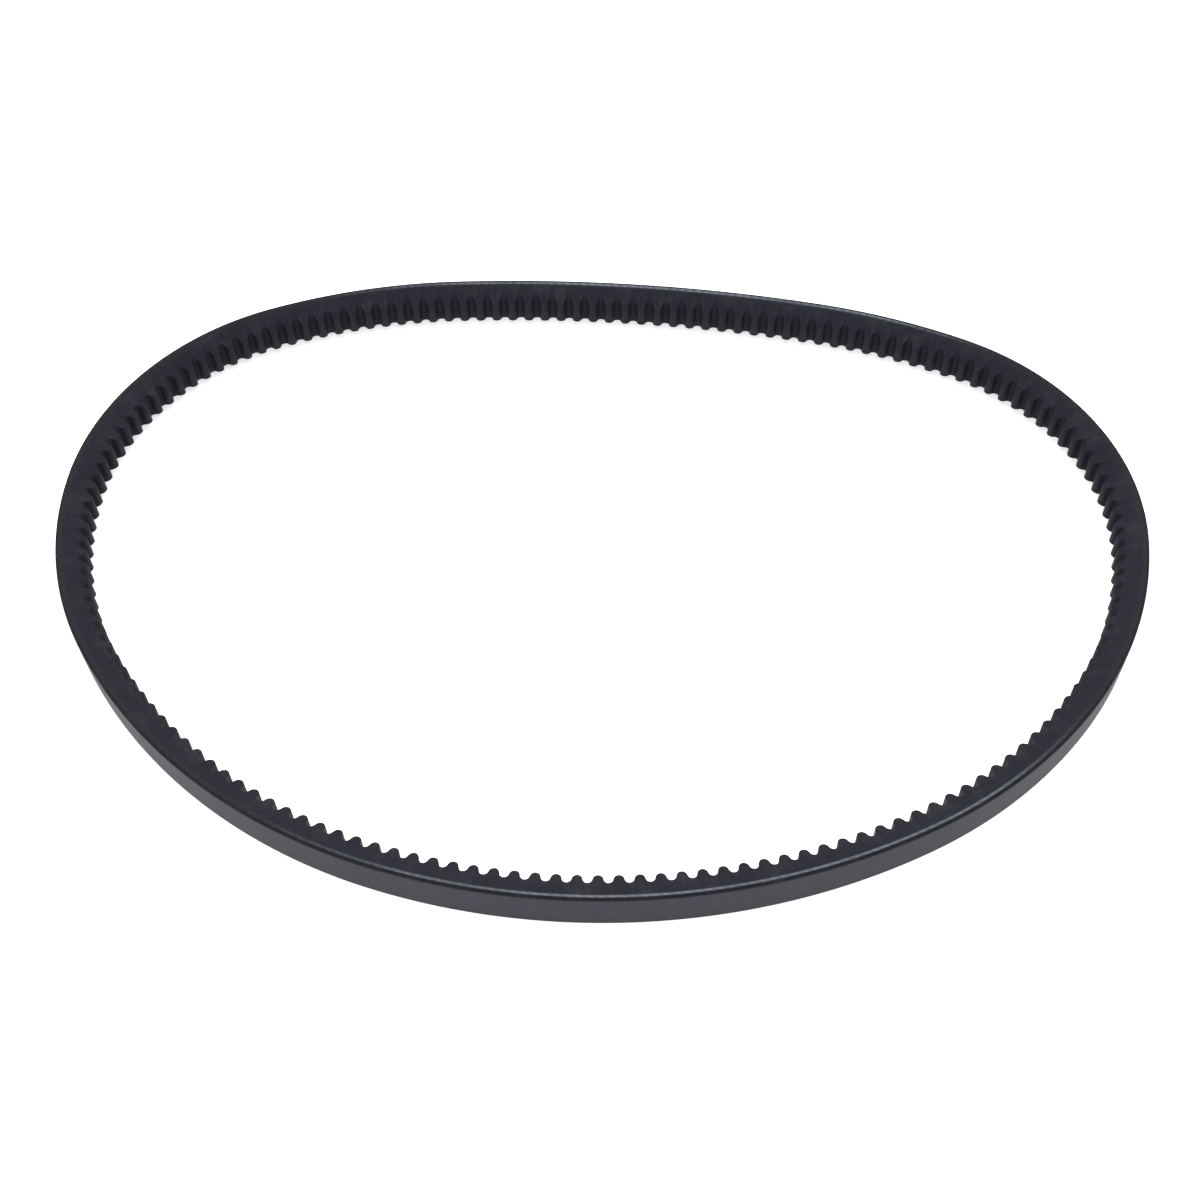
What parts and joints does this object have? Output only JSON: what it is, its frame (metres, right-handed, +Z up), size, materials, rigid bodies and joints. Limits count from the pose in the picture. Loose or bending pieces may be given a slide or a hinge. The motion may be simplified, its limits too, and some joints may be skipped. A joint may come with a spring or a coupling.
{
  "type": "cogged v belt",
  "caption": "Raw-edge cogged V-belt lying on its side in a loose oval loop: fabric back, exposed cord line on the flanks, moulded cogs inside. Runs in V-groove pulleys.",
  "frame": {"origin": "under the middle of the loop's bounding box, on the surface that the belt lies on", "axes": "+X along the loop's longest side, +Y from the shallow front run to the back run, +Z up across the belt's width"},
  "size_m": [0.3014, 0.2134, 0.0124],
  "materials": {
    "back_fabric": "rubberised weave, worn slightly shiny",
    "ply_edge": "rubber-soaked fabric, cut edge",
    "adhesion_rubber": "smooth dark rubber, ground at the flanks",
    "compression_rubber": "matt, fibre-filled, ground at the flanks and moulded on the cogs",
    "tensile_cord": "dipped twisted polyester cord"
  },
  "bodies": {
    "root": {"back_ply_outer": "back_fabric", "back_ply_inner": "ply_edge", "adhesion_rubber_upper": "adhesion_rubber", "adhesion_rubber_lower": "adhesion_rubber", "cogged_compression_rubber": "compression_rubber", "tensile_cord_lap_01": "tensile_cord", "tensile_cord_lap_02": "tensile_cord", "tensile_cord_lap_03": "tensile_cord", "tensile_cord_lap_04": "tensile_cord", "tensile_cord_lap_05": "tensile_cord", "tensile_cord_lap_06": "tensile_cord", "tensile_cord_lap_07": "tensile_cord", "tensile_cord_lap_08": "tensile_cord", "tensile_cord_lap_09": "tensile_cord", "tensile_cord_lap_10": "tensile_cord"}
  },
  "joints": []
}
